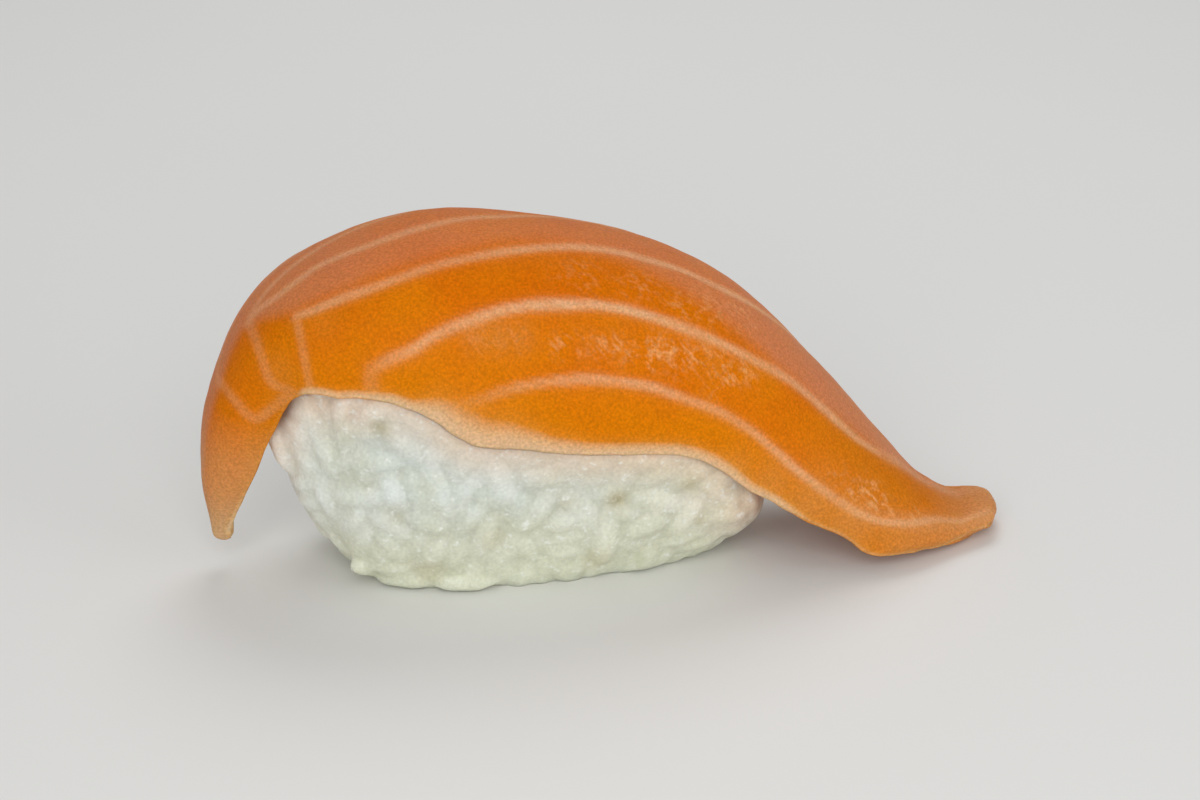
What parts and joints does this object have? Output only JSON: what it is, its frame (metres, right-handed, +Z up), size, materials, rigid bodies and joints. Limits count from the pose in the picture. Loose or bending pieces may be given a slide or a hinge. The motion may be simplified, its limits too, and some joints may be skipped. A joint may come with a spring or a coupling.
{
  "type": "salmon nigiri",
  "caption": "Salmon nigiri: a long slice of raw salmon draped over a hand-pressed ball of sushi rice, with one end hanging clear of the rice and a tail that reaches the surface.",
  "frame": {"origin": "on the resting plane, under the middle of the object's box", "axes": "+Z up, +X along the slice from its pointed tip to its tail, -Y the side that shows the most rice"},
  "size_m": [0.0808, 0.0294, 0.0353],
  "materials": {
    "salmon": "moist raw flesh with pale fat lines, softly glossy",
    "rice": "cooked, slightly translucent white grains with a weak moist sheen"
  },
  "bodies": {
    "root": {"salmon_slice": "salmon", "rice": "rice"}
  },
  "joints": []
}
